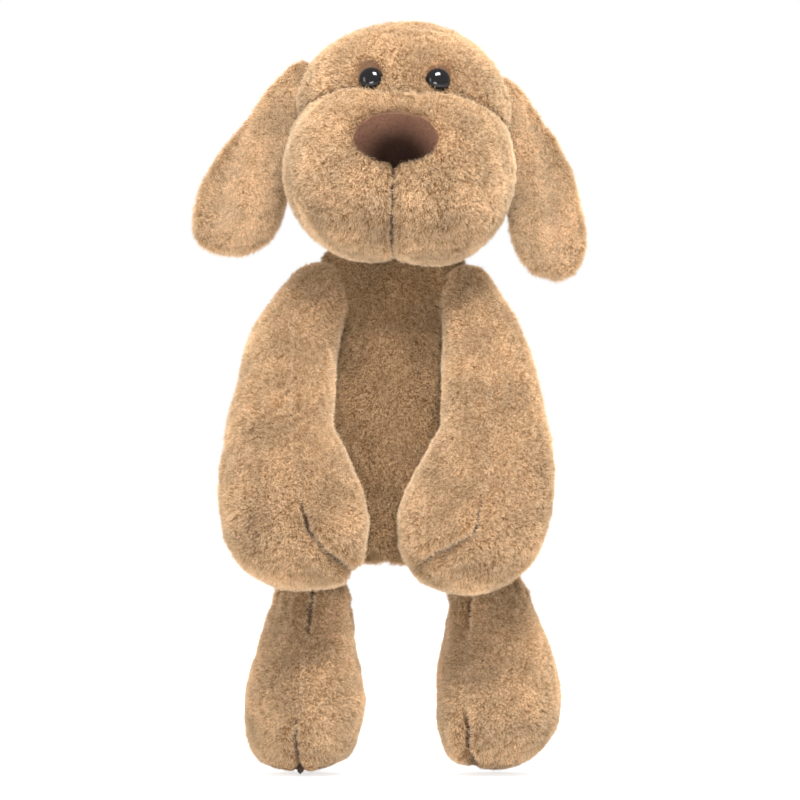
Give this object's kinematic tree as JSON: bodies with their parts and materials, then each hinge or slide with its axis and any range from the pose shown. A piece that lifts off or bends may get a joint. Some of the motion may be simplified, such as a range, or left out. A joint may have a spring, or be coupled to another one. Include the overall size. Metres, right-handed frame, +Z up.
{
  "type": "plush dog",
  "caption": "Floppy stuffed toy dog of tan fur fabric with hanging ears, arms and legs, glossy button eyes and a padded velvet nose.",
  "frame": {"origin": "middle of the whole toy in plan, at the height of the lowest foot", "axes": "+Z up through the crown, front of the dog faces -Y, the dog's left is +X"},
  "size_m": [0.2373, 0.1664, 0.4504],
  "materials": {
    "fur_fabric": "short dense fur pile, slightly matted, golden tan with paler tips",
    "nose_velvet": "short-pile dark brown velvet",
    "eye_plastic": "polished black",
    "washer_plastic": "plain moulded",
    "fibre_filling": "loose polyester fibre",
    "pellet_bag_cloth": "thin woven cloth holding plastic pellets",
    "thread": "doubled sewing thread"
  },
  "bodies": {
    "torso": {"torso_cover_left": "fur_fabric", "torso_cover_right": "fur_fabric", "seat_panel": "fur_fabric", "seat_pellet_bag": "pellet_bag_cloth", "torso_stuffing": "fibre_filling", "neck_stitching": "thread"},
    "head": {"crown_cover": "fur_fabric", "head_back_cover": "fur_fabric", "muzzle_cover_left": "fur_fabric", "muzzle_cover_right": "fur_fabric", "head_stuffing": "fibre_filling", "nose_cover": "nose_velvet", "nose_padding": "fibre_filling", "eye_left": "eye_plastic", "eye_right": "eye_plastic", "eye_washer_left": "washer_plastic", "eye_washer_right": "washer_plastic"},
    "ear_left": {"ear_front_cover_left": "fur_fabric", "ear_back_cover_left": "fur_fabric", "ear_padding_left": "fibre_filling"},
    "arm_left": {"arm_outer_cover_left": "fur_fabric", "arm_inner_cover_left": "fur_fabric", "arm_stuffing_left": "fibre_filling", "paw_pellet_bag_left": "pellet_bag_cloth"},
    "leg_left": {"leg_outer_cover_left": "fur_fabric", "leg_inner_cover_left": "fur_fabric", "leg_stuffing_left": "fibre_filling", "foot_pellet_bag_left": "pellet_bag_cloth"},
    "ear_right": {"ear_front_cover_right": "fur_fabric", "ear_back_cover_right": "fur_fabric", "ear_padding_right": "fibre_filling"},
    "arm_right": {"arm_outer_cover_right": "fur_fabric", "arm_inner_cover_right": "fur_fabric", "arm_stuffing_right": "fibre_filling", "paw_pellet_bag_right": "pellet_bag_cloth"},
    "leg_right": {"leg_outer_cover_right": "fur_fabric", "leg_inner_cover_right": "fur_fabric", "leg_stuffing_right": "fibre_filling", "foot_pellet_bag_right": "pellet_bag_cloth"},
    "tail": {"tail_cover_left": "fur_fabric", "tail_cover_right": "fur_fabric", "tail_stuffing": "fibre_filling"}
  },
  "joints": [
    {"name": "neck_turn", "type": "hinge", "parent": "torso", "child": "head", "pos_m": [-0.0014, 0.0137, 0.314], "axis": [0, 0, 1], "range_deg": [-15, 15], "stiffness_Nm_per_rad": 0.06},
    {"name": "ear_lift_left", "type": "hinge", "parent": "head", "child": "ear_left", "pos_m": [0.0671, 0.0067, 0.42696], "axis": [-0.0523, -0.9986, 0.0026], "range_deg": [0, 55]},
    {"name": "ear_lift_right", "type": "hinge", "parent": "head", "child": "ear_right", "pos_m": [-0.04759, 0.01271, 0.43277], "axis": [0.0523, 0.9986, -0.0026], "range_deg": [0, 55]},
    {"name": "shoulder_swing_left", "type": "hinge", "parent": "torso", "child": "arm_left", "pos_m": [0.0478, 0.0057, 0.286], "axis": [-1, 0, 0], "range_deg": [0, 60]},
    {"name": "shoulder_swing_right", "type": "hinge", "parent": "torso", "child": "arm_right", "pos_m": [-0.0522, 0.0057, 0.286], "axis": [-1, 0, 0], "range_deg": [0, 60]},
    {"name": "hip_swing_left", "type": "hinge", "parent": "torso", "child": "leg_left", "pos_m": [0.0584, 0.0062, 0.1212], "axis": [-1, 0, 0], "range_deg": [-40, 30]},
    {"name": "hip_swing_right", "type": "hinge", "parent": "torso", "child": "leg_right", "pos_m": [-0.0476, 0.0062, 0.1212], "axis": [-1, 0, 0], "range_deg": [-40, 30]},
    {"name": "tail_wag", "type": "hinge", "parent": "torso", "child": "tail", "pos_m": [0.0016, 0.0607, 0.1955], "axis": [0, 1, 0], "range_deg": [-30, 30]}
  ]
}
